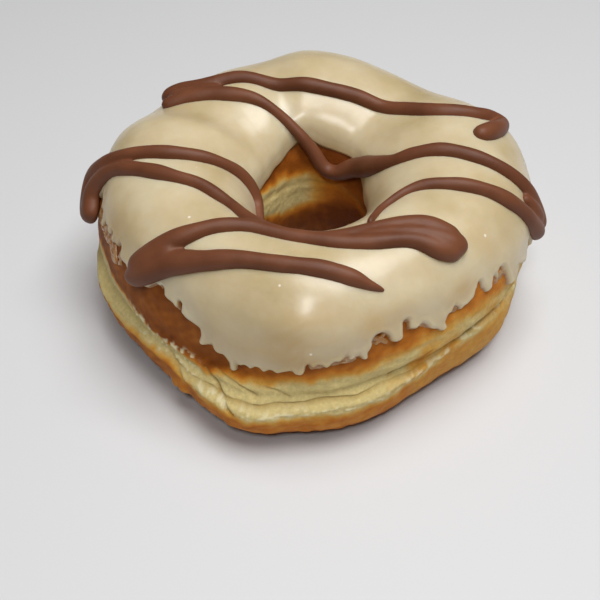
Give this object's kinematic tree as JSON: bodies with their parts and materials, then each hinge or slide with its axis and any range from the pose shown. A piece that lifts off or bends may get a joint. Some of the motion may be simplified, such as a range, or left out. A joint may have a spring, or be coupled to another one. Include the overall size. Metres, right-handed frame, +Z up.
{
  "type": "ring doughnut",
  "caption": "Yeast-raised ring doughnut with pale caramel icing running down in drips and a thick zigzag of chocolate drizzle.",
  "frame": {"origin": "centre of the footprint box, on the flat underside", "axes": "+Z up along the ring's axis, -Y towards the side with the two long front strands of drizzle, +X to that side's right"},
  "size_m": [0.0972, 0.0956, 0.0407],
  "materials": {
    "dough": "fried yeast dough, soft and slightly rough",
    "icing": "set caramel icing with chocolate drizzle, satin gloss"
  },
  "bodies": {
    "root": {"dough": "dough", "icing": "icing"}
  },
  "joints": []
}
